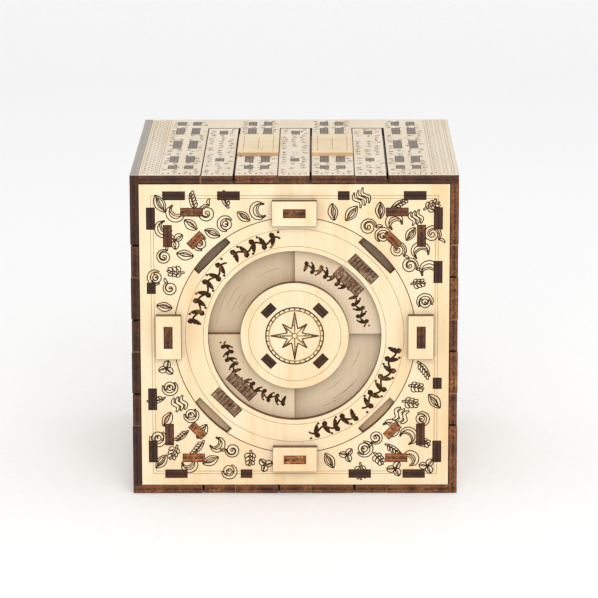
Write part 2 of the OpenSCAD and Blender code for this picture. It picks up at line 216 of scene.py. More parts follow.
def burnt_edge(name, core, outer, ember, gloss=0.55):
    """A laser-cut edge: three plies of charred wood, darkest in the end-grain core, with the beam's fine
    lines across the sheet. The tone attribute runs from black char to bare reddish wood."""
    n = Nodes(name)
    grain = n.attribute("grain").outputs["Vector"]
    tone = n.attribute("tone").outputs["Fac"]
    parts = n.add("ShaderNodeSeparateXYZ")
    n.link(grain, parts.inputs[0])
    wobble = n.stretched_noise(grain, (0.9, 0.9, 0.4), 2.0)
    depth = n.math("ADD", parts.outputs["Z"], n.math("MULTIPLY", n.math("SUBTRACT", wobble, 0.5), 0.5))
    layer = n.math("MODULO", n.math("DIVIDE", depth, PLY), 1.0)
    plies = n.ramp(layer, BARE_PLIES)
    patches = n.stretched_noise(grain, (0.22, 0.22, 0.1), 3.0, 0.6, 0.4)
    streaks = n.stretched_noise(grain, (0.5, 0.5, 6.5), 3.0, 0.7)
    flame = n.stretched_noise(grain, (1.1, 1.1, 1.6), 3.0, 0.65, 0.8)
    base = n.mix(core, outer, n.math("MULTIPLY", plies, n.range(tone, 0.0, 1.0, 0.3, 1.0)))
    bare_patches = n.ramp(patches, [(0.35, 0.0), (0.75, 1.0)])
    glow = n.math("MULTIPLY", bare_patches, n.ramp(flame, [(0.4, 0.0), (0.7, 1.0)]))
    glow = n.math("MULTIPLY", glow, n.range(tone, 0.0, 1.0, 0.12, 1.3))
    colour = n.mix(base, ember, n.math("MINIMUM", glow, 1.0))
    colour = n.mix(colour, n.ramp(streaks, [(0.33, 0.5), (0.5, 0.9), (0.68, 1.5)]), 1.0, "MULTIPLY")
    colour = n.mix(colour, n.ramp(tone, [(0.0, 0.6), (1.0, 1.4)]), 1.0, "MULTIPLY")
    n.bump(streaks, 0.5, mm(0.08))
    return n.finish(colour, n.range(streaks, 0.3, 0.7, 0.3, 0.5), gloss)


def engraving(name, dark, bright, share):
    """The floor and walls of an engraved line: charred, and golden where the beam ran fast. The higher the
    share, the more of the line is charred."""
    n = Nodes(name)
    grain = n.attribute("grain").outputs["Vector"]
    slow = n.stretched_noise(grain, (0.33, 0.3, 0.2), 2.0, 0.5, 0.3)
    soot = n.stretched_noise(grain, (3.0, 3.0, 3.0), 3.0, 0.7)
    colour = n.mix(dark, bright, n.ramp(slow, [(share - 0.1, 0.0), (share + 0.12, 1.0)]))
    colour = n.mix(colour, n.ramp(soot, [(0.3, 0.7), (0.7, 1.15)]), 1.0, "MULTIPLY")
    n.bump(soot, 0.4, mm(0.05))
    return n.finish(colour, 0.8, 0.2)


def materials():
    """Every finish by its key. A birch has its pale, warm and fleck colours. A burnt edge has those of its
    core, its outer plies and its bare wood."""
    cream, warm, fleck = srgb(248, 229, 193), srgb(236, 198, 144), srgb(190, 142, 90)
    return {
        "face": birch("birch_face", cream, warm, fleck, 1.3),
        # Partly the birch's own colour and partly painted sheen: the sides' birch is greyer than the front's,
        # as faces seen at a grazing angle look.
        "top": birch("birch_side_face", srgb(234, 220, 197), srgb(214, 190, 154), fleck, 0.8),
        "inner": birch("birch_inner_face", srgb(226, 205, 173), srgb(200, 172, 134), srgb(150, 112, 76), 0.9),
        # Painted shade: a darker birch for the dial seat's upper half, where the front panel shades the upper
        # notches.
        "painted_shade": birch("birch_painted_shade_face", srgb(226, 196, 156), srgb(192, 154, 110), srgb(120, 86, 56), 0.9,
                       0.36),
        "tile": birch("birch_tile_face", srgb(232, 212, 176), srgb(222, 192, 146), fleck, 1.0),
        "edge": burnt_edge("burnt_edge", srgb(40, 20, 10), srgb(124, 64, 34), srgb(204, 132, 70), 0.3),
        "block": burnt_edge("toasted_block_edge", srgb(40, 24, 14), srgb(126, 86, 58), srgb(240, 196, 150),
                            0.3),
        # Painted sheen: paler, greyer char for rib and runner ends, seen on the sides at a grazing angle.
        "rib": burnt_edge("painted_sheen_edge", srgb(84, 62, 44), srgb(134, 108, 84), srgb(180, 152, 122)),
        "tile_edge": birch("toasted_tile_edge", srgb(224, 188, 136), srgb(196, 150, 96), srgb(120, 76, 42)),
        # Painted sheen: pale grey char for the left board's upward cut edges.
        "painted_sheen": burnt_edge("ashen_board_edge", srgb(176, 162, 150), srgb(206, 192, 178), srgb(224, 208, 192)),
        # Painted highlight: light amber on the cut corners that face one way, where light catches them.
        "glint": birch("painted_glint_corner", srgb(226, 178, 112), srgb(196, 140, 76), srgb(140, 92, 48)),
        "dark": engraving("engraving_dark", srgb(58, 35, 18), srgb(150, 104, 56), 0.63),
        "fine": engraving("engraving_fine", srgb(140, 98, 50), srgb(206, 164, 100), 0.5),
    }


MATERIALS = materials()


# ---------- engraving strokes, drawn flat ----------

class Ink:
    """Strokes in millimetres on one face of the cube: u to the right and v up, from the face's middle."""

    def __init__(self):
        self.strokes = []

    def stroke(self, points, width, closed=False, depth=DARK_DEPTH):
        widths = width if isinstance(width, (list, tuple)) else [width] * len(points)
        self.strokes.append((np.array(points, float), np.array(widths, float), closed, depth))

    def circle(self, centre, r, width, depth=DARK_DEPTH, count=96):
        points = [(centre[0] + r * math.cos(a), centre[1] + r * math.sin(a))
                  for a in (2 * math.pi * i / count for i in range(count))]
        self.stroke(points, width, True, depth)

    def line(self, a, b, width, depth=DARK_DEPTH):
        self.stroke([a, b], width, False, depth)

    def dot(self, centre, r):
        """A filled round dot, as one short stroke that is fat in its middle."""
        u, v = centre
        reach, end_width = r * 0.94, 2 * r * math.sqrt(0.2)
        self.stroke([(u - reach, v), (u, v), (u + reach, v)], [end_width, 2 * r, end_width])


def spiral(turns, r0, r1, start, count):
    """A spiral about the origin, from radius r0 to r1."""
    points = []
    for i in range(count):
        t = i / (count - 1)
        r = r0 + (r1 - r0) * t
        a = start + 2 * math.pi * turns * t
        points.append((r * math.cos(a), r * math.sin(a)))
    return points


def bow(a, b, sag, count=14):
    """A curved line from a to b that swings out to the left by sag at its middle."""
    a, b = np.array(a, float), np.array(b, float)
    side = np.array([-(b - a)[1], (b - a)[0]])
    side /= np.linalg.norm(side)
    return [tuple(a + (b - a) * t + side * sag * math.sin(math.pi * t)) for t in np.linspace(0, 1, count)]


VOLUTE_POINTS = 20


# Each ornament is a list of curves in a box about 1 high, as (points, how fat it is at most).
def volute():
    return [(spiral(1.7, 0.46, 0.07, 0.6, VOLUTE_POINTS), 1.0),
            (bow((0.38, 0.26), (0.62, 0.5), 0.06, 6), 0.7)]


def leaf():
    return [(bow((0, -0.5), (0, 0.5), 0.22), 0.9), (bow((0, 0.5), (0, -0.5), 0.22), 0.6),
            (bow((0, -0.36), (0.02, 0.3), 0.03, 6), 0.5)]


def sprig():
    curves = [(bow((-0.05, -0.5), (0.05, 0.5), 0.08), 0.7)]
    for i, t in enumerate((-0.24, 0.0, 0.24)):
        reach = 0.3 - 0.05 * i
        curves.append((bow((0, t), (reach, t + 0.2), -0.07, 6), 0.9))
        curves.append((bow((0, t), (-reach, t + 0.2), 0.07, 6), 0.9))
    return curves


def moon():
    outer = [(0.42 * math.cos(a), 0.46 * math.sin(a)) for a in np.linspace(0.9, 2 * math.pi - 0.9, 20)]
    inner = [(0.2 + 0.3 * math.cos(a), 0.38 * math.sin(a)) for a in np.linspace(1.1, 2 * math.pi - 1.1, 16)]
    return [(outer, 1.0), (inner, 0.5)]


def ripples():
    return [([(x, y + 0.11 * math.sin(x * 9)) for x in np.linspace(-0.42, 0.42, 18)], 0.9)
            for y in (-0.26, 0.0, 0.26)]


def burst():
    curves = []
    for i in range(8):
        a = math.pi * i / 4 + 0.2
        far = 0.5 if i % 2 else 0.34
        ray = (math.cos(a), math.sin(a))
        curves.append(([(0.13 * ray[0], 0.13 * ray[1]), (far * ray[0], far * ray[1])], 0.9))
    return curves


def feather():
    curves = [(bow((-0.12, -0.5), (0.16, 0.5), 0.1), 0.8)]
    for t in np.linspace(-0.3, 0.4, 5):
        curves.append((bow((t * 0.28 - 0.05, t), (t * 0.28 + 0.24, t + 0.13), -0.03, 5), 0.7))
    return curves


def petals():
    curves = []
    for i in range(3):
        a = math.pi / 2 + i * 2 * math.pi / 3
        tip = (0.48 * math.cos(a), 0.48 * math.sin(a))
        curves.append((bow((0, 0), tip, 0.13, 9), 0.9))
        curves.append((bow(tip, (0, 0), 0.13, 9), 0.6))
    return curves


def pond():
    return [([(r * math.cos(a), r * math.sin(a)) for a in np.linspace(start, start + sweep, 18)], 0.9)
            for r, start, sweep in ((0.45, 0.5, 4.2), (0.27, 3.3, 4.4), (0.1, 0.0, 5.6))]


ORNAMENTS = (volute, leaf, sprig, moon, ripples, feather, petals, pond)
SMALL_ORNAMENTS = (leaf, sprig, feather, petals, burst)


def place(points, centre, size, angle):
    """The points of a unit drawing, scaled, turned and moved to its place."""
    c, s = math.cos(angle), math.sin(angle)
    return [(centre[0] + size * (x * c - y * s), centre[1] + size * (x * s + y * c)) for x, y in points]


def swell(count, thin, fat):
    """A pen stroke's widths: thin at both ends and fat in the middle."""
    return [thin + (fat - thin) * abs(math.sin(math.pi * i / max(1, count - 1))) ** 0.8 for i in range(count)]


def thinned(points, most):
    """The same curve with no more than so many points."""
    if len(points) <= most:
        return points
    return [points[round(i * (len(points) - 1) / (most - 1))] for i in range(most)]


def ornament(ink, shape, centre, size, angle, line, hollow=0.0, most=12):
    """Draws an ornament as pen strokes, or as the outline of pen strokes when hollow gives their width. A
    curve has at most so many points, but a volute's turns need all of theirs."""
    for points, weight in shape():
        points = thinned(points, VOLUTE_POINTS if shape is volute else most)
        placed = place(points, centre, size, angle)
        if not hollow:
            ink.stroke(placed, swell(len(placed), line * 0.45, line * weight))
            continue
        widths = np.array(swell(len(placed), hollow * 0.35, hollow * weight))
        left, right = sides(np.array(placed), widths, False)
        ink.stroke(np.concatenate([left, right[::-1]]), line, True)


def sides(points, widths, closed):
    """The left and right edges of a stroke of varying width, mitred at its bends."""
    turns_back, sharpest_mitre = 0.2, 0.6
    if closed:
        before, after = points - np.roll(points, 1, 0), np.roll(points, -1, 0) - points
    else:
        steps = np.diff(points, axis=0)
        before, after = np.vstack([steps[:1], steps]), np.vstack([steps, steps[-1:]])
    before /= np.maximum(np.linalg.norm(before, axis=1, keepdims=True), 1e-9)
    after /= np.maximum(np.linalg.norm(after, axis=1, keepdims=True), 1e-9)
    along = before + after
    length = np.linalg.norm(along, axis=1, keepdims=True)
    along = np.where(length > turns_back, along / np.maximum(length, 1e-9), after)
    across = np.stack([-along[:, 1], along[:, 0]], 1)
    stretch = 1 / np.clip((across * np.stack([-after[:, 1], after[:, 0]], 1)).sum(1), sharpest_mitre, 1)
    offset = across * (widths * stretch / 2)[:, None]
    return points + offset, points - offset


# ---------- from strokes to engraved sheets ----------

class Face:
    """A flat face of the cube: origin in its middle, u and v in the face and n out of it."""

    def __init__(self, origin, u, v):
        self.origin = Vector(origin)
        self.u = Vector(u)
        self.v = Vector(v)
        self.n = self.u.cross(self.v)

    def sunk(self, depth):
        """The same face, deeper in the cube."""
        return Face(self.origin - self.n * depth, self.u, self.v)

    def point(self, u, v, out):
        """The place in metres at u, v and so far out of the face."""
        return (self.origin + self.u * u + self.v * v + self.n * out) * 0.001

    def flat(self, co):
        """A point in metres as its u, v and height over the face, in millimetres."""
        d = co * 1000 - self.origin
        return d.dot(self.u), d.dot(self.v), d.dot(self.n)


def side_face(side):
    """Side 0 is the top, then right, bottom and left, each turned a quarter about the dial's axis."""
    turn = Matrix.Rotation(math.pi / 2 * side, 3, "Y")
    n = turn @ Vector((0, 0, 1))
    return Face(Vector((0, MID_Y, AXIS_Z)) + n * HALF, turn @ Vector((1, 0, 0)), Vector((0, 1, 0)))


FRONT_FACE = Face((0, FRONT, AXIS_Z), (1, 0, 0), (0, 0, 1))
BACK_FACE = Face((0, BACK, AXIS_Z), (-1, 0, 0), (0, 0, 1))


def ccw(points, triangle):
    """The triangle turned counter-clockwise, or None when it has next to no area."""
    (ax, ay), (bx, by), (cx, cy) = (points[i] for i in triangle)
    area = (bx - ax) * (cy - ay) - (cx - ax) * (by - ay)
    if abs(area) < 1e-5:
        return None
    return tuple(triangle) if area > 0 else tuple(reversed(triangle))


def inside_outline(points, edges):
    """Whether each point lies inside an outline, by counting the edges to its right."""
    x, y = points[:, 0], points[:, 1]
    crossings = np.zeros(len(points), int)
    for (ax, ay), (bx, by) in edges:
        if ay != by:
            spans = (ay > y) != (by > y)
            crossings += spans & (x < ax + (y - ay) * (bx - ax) / (by - ay))
    return crossings % 2 == 1


def inside(point, triangle):
    """Whether a point lies in a counter-clockwise triangle."""
    return all((bx - ax) * (point[1] - ay) - (by - ay) * (point[0] - ax) >= -1e-7
               for (ax, ay), (bx, by) in zip(triangle, triangle[1:] + triangle[:1]))


def near(strokes, low, high):
    """The strokes that touch a rectangle in u and v."""
    low, high = np.array(low), np.array(high)
    return [s for s in strokes if (s[0].max(0) > low).all() and (s[0].min(0) < high).all()]


def stroke_triangles(strokes, points, triangles, depths):
    """Adds each stroke to a flat drawing, as pairs of triangles with the stroke's depth."""
    for line, widths, closed, depth in strokes:
        left, right = sides(line, widths, closed)
        base, count = len(points), len(line)
        for pair in zip(left, right):
            points += [(float(u), float(v)) for u, v in pair]
        for i in range(count if closed else count - 1):
            a, b = base + 2 * i, base + 2 * ((i + 1) % count)
            for triangle in ((a, a + 1, b + 1), (a, b + 1, b)):
                turned = ccw(points, triangle)
                if turned:
                    triangles.append(turned)
                    depths.append(depth)


def sheet_outline(bm, face):
    """A piece's faces that lie in the given flat face, and the edges round them."""
    bm.edges.index_update()
    bm.verts.index_update()
    top = {f for f in bm.faces
           if f.normal.dot(face.n) > 0.99 and abs(face.flat(f.verts[0].co)[2]) < SAME_LEVEL}
    edges = {e for f in top for e in f.edges}
    rim = [e for e in edges if sum(g in top for g in e.link_faces) == 1]
    return top, sorted(rim, key=lambda e: e.index)


def engrave(bm, face, ink):
    """Replaces a piece's flat face by one with the strokes sunk into it. Strokes end where the sheet does."""
    top, rim = sheet_outline(bm, face)
    if not top:
        return
    verts = sorted({v for e in rim for v in e.verts}, key=lambda v: v.index)
    number = {v: i for i, v in enumerate(verts)}
    points = [face.flat(v.co)[:2] for v in verts]
    rim_ends = [(number[e.verts[0]], number[e.verts[1]]) for e in rim]
    strokes = near(ink.strokes, np.min(points, 0), np.max(points, 0))
    if not strokes:
        return
    outline = [(points[i], points[j]) for i, j in rim_ends]
    triangles, depths = [], []
    stroke_triangles(strokes, points, triangles, depths)
    co, edges, faces, _, old_edges, old_faces = mathutils.geometry.delaunay_2d_cdt(
        [Vector(q) for q in points], rim_ends, triangles, 0, 1e-4)
    bmesh.ops.delete(bm, geom=list(top), context="FACES_KEEP_BOUNDARY")
    drawn = [([points[i] for i in triangle], depth) for triangle, depth in zip(triangles, depths)]
    level = face_depths(co, faces, old_faces, drawn, outline)
    made = rim_verts(co, edges, old_edges, rim, face)
    build_levels(bm, face, co, faces, level, made)


def face_depths(co, faces, old_faces, drawn, outline):
    """The depth of each new face that is inside the outline: that of the deepest stroke over its middle."""
    middles = np.array([sum((co[i] for i in ring), Vector((0, 0))) / len(ring) for ring in faces])
    in_sheet = inside_outline(middles, outline)
    level = {}
    for k, owners in enumerate(old_faces):
        if in_sheet[k]:
            over = [drawn[o][1] for o in owners if inside(middles[k], drawn[o][0])]
            level[k] = max(over, default=0.0)
    return level


def build_levels(bm, face, co, faces, level, made):
    """Builds the new faces at their depths, with upright walls between faces of different depths. A wall
    has a corner at every depth that meets at its ends."""
    def corner(i, depth):
        if (i, depth) not in made:
            made[(i, depth)] = bm.verts.new(face.point(co[i].x, co[i].y, -depth))
        return made[(i, depth)]

    beside, levels_at = {}, {}
    for k, depth in level.items():
        ring = faces[k]
        for i in ring:
            levels_at.setdefault(i, set()).add(depth)
        bm.faces.new([corner(i, depth) for i in ring])
        for i, j in zip(ring, ring[1:] + ring[:1]):
            beside[(i, j)] = depth
    for (i, j), depth in beside.items():
        other = beside.get((j, i), 0.0)
        if depth > other:
            ends = [[corner(end, d) for d in sorted(levels_at[end] | {other}) if other <= d <= depth]
                    for end in (i, j)]
            bm.faces.new(ends[0][::-1] + ends[1])


def rim_verts(co, edges, old_edges, rim, face):
    """Splits the sheet's outline where strokes run over it. Returns the vertex at each point of it."""
    on_rim = {}
    for (i, j), owners in zip(edges, old_edges):
        for owner in owners:
            if owner < len(rim):
                on_rim.setdefault(owner, set()).update((i, j))
    made = {}
    for owner, members in on_rim.items():
        edge = rim[owner]
        a, b = edge.verts
        start, end = Vector(face.flat(a.co)[:2]), Vector(face.flat(b.co)[:2])
        along = (end - start).normalized()
        order = sorted(members, key=lambda i: (co[i] - start).dot(along))
        made[(order[0], 0.0)], made[(order[-1], 0.0)] = a, b
        total, done, current, tail = (end - start).length, 0.0, edge, a
        for i in order[1:-1]:
            here = (co[i] - start).dot(along)
            _, vert = bmesh.utils.edge_split(current, tail, (here - done) / (total - done))
            made[(i, 0.0)] = vert
            current = next(e for e in vert.link_edges if e.other_vert(vert) == b)
            tail, done = vert, here
    return made


# ---------- sheets of plywood ----------

DIAGONAL = math.sqrt(0.5)
DISSOLVE_ANGLE = math.radians(1)
CUT_ANGLE = math.radians(50)
SMOOTH_ANGLE = math.radians(30)
# The ways a sheet can face.
SHEET_AXES = [Vector(a) for a in ((0, 0, 1), (1, 0, 0), (0, 1, 0),
                                  (DIAGONAL, 0, DIAGONAL), (DIAGONAL, 0, -DIAGONAL))]


def clean_copy(node, face=None, ink=None):
    """A copy of a CAD node's mesh as a new object, welded, without the flat faces' inner edges, with a
    narrow chamfer on every cut edge, and with the ink engraved in the given face. A mesh in which more than
    two faces share an edge gets no chamfer."""
    mesh = bpy.data.meshes.new(node)
    bm = bmesh.new()
    bm.from_mesh(frame["nodes"][node].data)
    bmesh.ops.remove_doubles(bm, verts=bm.verts, dist=mm(0.001))
    bmesh.ops.dissolve_limit(bm, angle_limit=DISSOLVE_ANGLE, verts=bm.verts, edges=bm.edges,
                             delimit={"NORMAL"})
    sharp = [e for e in bm.edges if len(e.link_faces) == 2 and e.calc_face_angle() > CUT_ANGLE]
    if any(len(e.link_faces) > 2 for e in bm.edges):
        sharp = []
    bmesh.ops.bevel(bm, geom=sharp, offset=mm(PLATE_CHAMFER), segments=1, profile=0.5, affect="EDGES",
                    clamp_overlap=True, material=-1)
    bmesh.ops.triangulate(bm, faces=bm.faces)
    if ink is not None:
        engrave(bm, face, ink)
        bmesh.ops.triangulate(bm, faces=bm.faces)
    bm.to_mesh(mesh)
    bm.free()
    piece = bpy.data.objects.new(node + "_ply", mesh)
    bpy.context.scene.collection.objects.link(piece)
    return piece


def islands(mesh):
    """A number for each vertex, the same for all vertices of one closed solid."""
    parent = list(range(len(mesh.vertices)))

    def root(i):
        while parent[i] != i:
            parent[i] = parent[parent[i]]
            i = parent[i]
        return i

    for a, b in mesh.edge_keys:
        parent[root(a)] = root(b)
    roots = [root(i) for i in range(len(parent))]
    order = {r: k for k, r in enumerate(sorted(set(roots)))}
    return np.array([order[r] for r in roots])


def lay_sheets(co, island, tone, grain_along, rng, normal):
    """How each closed solid lies as a sheet: rows of its normal, lowest and highest depth. Also each
    vertex's grain (across, along and through its sheet, from a random start) and tone."""
    furthest_start = 400
    grain, tones, sheets = np.zeros((len(co), 3)), np.zeros(len(co)), []
    for k in range(island.max() + 1):
        mine = island == k
        spans = [np.ptp(co[mine] @ np.array(a)) for a in SHEET_AXES]
        n = normal or SHEET_AXES[int(np.argmin(spans))]
        along = grain_along - n * n.dot(grain_along)
        along = (along if along.length > 0.1 else n.orthogonal()).normalized()
        across = along.cross(n)
        depth = co[mine] @ np.array(n)
        sheets.append((*n, depth.min(), depth.max()))
        grain[mine, 0] = co[mine] @ np.array(across) + rng.uniform(0, furthest_start)
        grain[mine, 1] = co[mine] @ np.array(along) + rng.uniform(0, furthest_start)
        grain[mine, 2] = depth - depth.min()
        tones[mine] = tone(co[mine], rng) if callable(tone) else rng.uniform(*tone)
    return np.array(sheets), grain, tones


def face_kinds(mesh, co, island, sheets, accents):
    """Each face's material index: 0 for a sheet face, 1 for a cut edge, 2 for a dark line, 3 for a fine line,
    and from 4 for the cut edges that look along an accent's direction."""
    count = len(mesh.polygons)
    corners, faces = np.empty(count * 3, int), np.empty(count * 3)
    mesh.polygons.foreach_get("vertices", corners)
    mesh.polygons.foreach_get("normal", faces)
    corners, faces = corners.reshape(-1, 3), faces.reshape(-1, 3)
    home = sheets[island[corners[:, 0]]]
    n, low, high = home[:, :3], home[:, 3], home[:, 4]
    depth = np.einsum("ijk,ik->ij", co[corners], n)
    facing = np.abs((faces * n).sum(1))
    flat = facing > 0.95
    tilted = (facing > 0.3) & ~flat
    below = np.minimum(high - depth.min(1), depth.max(1) - low)
    groove = (below >= SAME_LEVEL) & (below < DARK_DEPTH + 0.05) & ~tilted
    index = np.ones(count, int)
    index[flat & (below < SAME_LEVEL)] = 0
    index[groove] = 2
    index[groove & (below < (FINE_DEPTH + DARK_DEPTH) / 2)] = 3
    for k, (direction, _) in enumerate(accents):
        index[(faces @ np.array(direction) > 0.95) & (index == 1)] = 4 + k
    return index


def dress(piece, slots, tone, grain_along, seed, normal=None, accents=()):
    """Gives a piece its materials by what each face is, and writes the grain and tone attributes that they
    read. Only cut edges are shaded smooth."""
    mesh = piece.data
    mesh.materials.clear()
    for key in (slots[0], slots[1], "dark", "fine", *(key for _, key in accents)):
        mesh.materials.append(MATERIALS[key])
    co = np.empty(len(mesh.vertices) * 3)
    mesh.vertices.foreach_get("co", co)
    co = in_mm(co.reshape(-1, 3))
    island = islands(mesh)
    sheets, grain, tones = lay_sheets(co, island, tone, Vector(grain_along), random.Random(seed), normal)
    index = face_kinds(mesh, co, island, sheets, accents)
    mesh.polygons.foreach_set("material_index", index)
    write_attribute(mesh, "grain", "FLOAT_VECTOR", grain, "vector")
    write_attribute(mesh, "tone", "FLOAT", tones, "value")
    if "custom_normal" in mesh.attributes:
        mesh.attributes.remove(mesh.attributes["custom_normal"])
    mesh.polygons.foreach_set("use_smooth", index == 1)
    mesh.set_sharp_from_angle(angle=SMOOTH_ANGLE)
    mesh.update()


def write_attribute(mesh, name, kind, values, field):
    attribute = mesh.attributes.get(name) or mesh.attributes.new(name, kind, "POINT")
    attribute.data.foreach_set(field, values.ravel())


def body_of_node(node):
    for body, members in frame["record"]["behaviour"]["bodies"].items():
        if node in members:
            return body
    return None


def sheet_piece(node, slots=("face", "edge"), tone=(0.4, 0.6), grain=(0, 0, 1), face=None, ink=None,
                normal=None, accents=()):
    """Makes the finished piece that stands for one CAD node."""
    piece = clean_copy(node, face, ink)
    dress(piece, slots, tone, grain, node, normal, accents)
    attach(piece, body_of_node(node))
    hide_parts(node)


def polar(r, degrees):
    """The point of a face at so many degrees, counter-clockwise from the right."""
    a = math.radians(degrees)
    return (r * math.cos(a), r * math.sin(a))


def vine(ink, r, start, end, size, line):
    """A bold vine along an arc: a wavy stem with two leaves and a berry at each bend. Its reach is given in
    shares of size, and its strokes in shares of line."""
    wanted = math.degrees(size * 0.62 / r)
    bends = max(2, round((end - start) / wanted))
    half_wave = (end - start) / bends
    swing = size * 0.17
    count = bends * 5
    steps = [start + half_wave * bends * i / count for i in range(count + 1)]
    stem = [polar(r + swing * math.sin(math.pi * (a - start) / half_wave), a) for a in steps]
    ink.stroke(stem, line * 0.8)
    for i in range(bends):
        out = 1 if i % 2 == 0 else -1
        crest = start + half_wave * (i + 0.5)
        tip = polar(r + out * size * 0.5, crest + half_wave * 0.35)
        root = polar(r + out * swing, crest)
        blade = bow(root, tip, size * 0.06 * out, 6)
        ink.stroke(blade, swell(6, line * 0.4, line * 2.3))
        twin = bow(root, polar(r - out * size * 0.42, crest + half_wave * 0.45), -size * 0.05 * out, 6)
        ink.stroke(twin, swell(6, line * 0.4, line * 1.7))
        ink.dot(polar(r + out * size * 0.44, crest - half_wave * 0.38), line * 0.55)


# ---------- the front's engraving ----------

# The rings of ornaments in the front's corners: radius, first angle and step in degrees.
CORNER_ROWS = ((49.4, 14, 7.2), (56.2, 25, 6.9), (63.0, 36, 6.6), (69.0, 43, 5.6))
# How far from the panel's middle, to a side or up, an ornament's middle may be.
CORNER_REACH = 52.0
# Radii about the dial's axis, on the ring, the shutter, the base and the hub.
RING_LINE_RADII = (40.2, 33.6)
RING_VINE_R = 36.9
SHUTTER_VINE_R = 25.6
DEEP_QUARTER_RADII = (21.5, 32.5)
HUB_LINE_R = 17
# The compass star on the hub: the ring of ticks round it, its long and short points, and the valleys between.
STAR_RING_OUT = 10.6
STAR_RING_IN = 9.5
STAR_LONG = 9.0
STAR_SHORT = 6.4
STAR_VALLEY = 2.9


def frame_lines(ink, distances, width):
    """Squares of fine lines round a panel."""
    for d in distances:
        ink.stroke([(-d, -d), (d, -d), (d, d), (-d, d)], width, True, FINE_DEPTH)


def corner_scatter(ink, rng):
    """Hollow ornaments along rings about the dial, in the four corners of the front panel."""
    for quarter in range(4):
        for r, start, step in CORNER_ROWS:
            angle = start + rng.uniform(0, 2)
            while angle < 90 - start + 2:
                u, v = polar(r + rng.uniform(-1.0, 1.0), angle + 90 * quarter)
                if max(abs(u), abs(v)) < CORNER_REACH:
                    shape = rng.choice(ORNAMENTS)
                    size = rng.uniform(5.2, 7.0)
                    turn = math.radians(angle + 90 * quarter - 90 + rng.uniform(-35, 35))
                    ornament(ink, shape, (u, v), size, turn, 0.4, rng.uniform(1.1, 1.5))
                angle += step * rng.uniform(0.95, 1.25)


def front_ink():
    """Two squares of fine lines round the panel, and ornaments in its corners."""
    ink = Ink()
    frame_lines(ink, (52.5, 51.5), FINE_LINE)
    corner_scatter(ink, random.Random(11))
    return ink


def vine_runs(ink, r, starts, runs, size, line):
    """The same runs of vine, each given by its first and last degree, after every start."""
    for start in starts:
        for first, last in runs:
            vine(ink, r, start + first, start + last, size, line)


def ring_ink():
    """Bold vines on two sides of the dial ring, between fine circles."""
    ink = Ink()
    for r in RING_LINE_RADII:
        ink.circle((0, 0), r, FINE_LINE, FINE_DEPTH, 180)
    vine_runs(ink, RING_VINE_R, (98, 278), ((0, 29), (34, 75)), 5.7, 0.95)
    return ink


def shutter_ink():
    """Bold vines in the two light quarters."""
    ink = Ink()
    vine_runs(ink, SHUTTER_VINE_R, (6, 186), ((0, 28), (34, 76)), 4.4, 0.74)
    return ink


def base_ink():
    """A few fine worn arcs in the two deep quarters."""
    ink = Ink()
    rng = random.Random(6)
    points = 10
    for i in range(10):
        start, sweep = 180 * (i % 2) + rng.uniform(95, 150), rng.uniform(10, 26)
        r = rng.uniform(*DEEP_QUARTER_RADII)
        arc = [polar(r + rng.uniform(-0.08, 0.08), start + sweep * k / (points - 1)) for k in range(points)]
        ink.stroke(arc, swell(points, 0.05, 0.14), False, FINE_DEPTH)
    return ink


def star_point(ink, far, angle):
    """One point of the star: its two sides, a fine spine, and hatching on its left half."""
    tip, valley = polar(far, angle), polar(STAR_VALLEY, angle + 22.5)
    ink.line(tip, valley, 0.42)
    ink.line(tip, polar(STAR_VALLEY, angle - 22.5), 0.42)
    ink.line(polar(far - 0.5, angle), polar(0.9, angle), 0.5, FINE_DEPTH)
    for k in range(7):
        reach = 0.2 + 0.1 * k
        edge = np.array(tip) + (np.array(valley) - np.array(tip)) * reach
        spine = polar(far - (far - 2.6) * reach, angle)
        ink.line(tuple(edge), spine, 0.32, FINE_DEPTH if k % 2 else DARK_DEPTH)


def hub_ink():
    """A compass star with eight points in a ring of ticks, and a fine circle round it."""
    ink = Ink()
    ink.circle((0, 0), HUB_LINE_R, FINE_LINE, FINE_DEPTH, 120)
    ink.circle((0, 0), STAR_RING_OUT, 0.5)
    ink.circle((0, 0), STAR_RING_IN, 0.5, FINE_DEPTH)
    ticks = 32
    for i in range(ticks):
        angle = i * 360 / ticks
        ink.line(polar(STAR_RING_IN + 0.25, angle), polar(STAR_RING_OUT - 0.25, angle), 0.42)
    for i in range(8):
        star_point(ink, STAR_LONG if i % 2 == 0 else STAR_SHORT, i * 45)
    ink.circle((0, 0), 0.9, 0.25, DARK_DEPTH, 24)
    return ink


# ---------- the sides' engraving ----------

# Places on a side, across the strips: the double border lines, the rows of dots, and the board's bars and
# strips from left to right.
BORDER_LINES = (-56.2, -50.4, 50.4, 57.6)
DOT_ROWS = (-54.2, -51.8, 52.6, 55.4)
COLUMNS = ((-49, -34.6), (-33.6, -22.6), (-21.4, -6.5), (-5.7, 5.4), (6.6, 21.5), (22.3, 33.4), (34.6, 49.5))
# Along the strips: where the marks start, and where they end on a bar and on a strip.
FRONT_END = -54.5
BAR_END = 57.0
STRIP_END = 39.0


def zigzag_dots(ink, u):
    """A row of dots along the side, left and right of u by turns."""
    v, last, step, swing = -56.5, 57, 2.1, 0.6
    while v < last:
        ink.dot((u + swing, v), 0.44)
        v += step
        swing = -swing


def small_marks(ink, rng, u0, u1, v0, v1, size):
    """Rows of small ornaments that fill a strip, with a few places left empty."""
    filled = 0.82
    v = v0 + size / 2
    while v < v1 - size / 3:
        u = u0 + size * 0.45
        while u < u1 - size * 0.3:
            if rng.random() < filled:
                shape = rng.choice(SMALL_ORNAMENTS)
                centre = (u + rng.uniform(-0.4, 0.4), v + rng.uniform(-0.5, 0.5))
                own_size, turn = size * rng.uniform(0.75, 1.0), rng.uniform(-0.6, 0.6)
                ornament(ink, shape, centre, own_size, turn, 0.36, most=5)
            u += size * rng.uniform(0.95, 1.25)
        v += size * rng.uniform(1.15, 1.5)


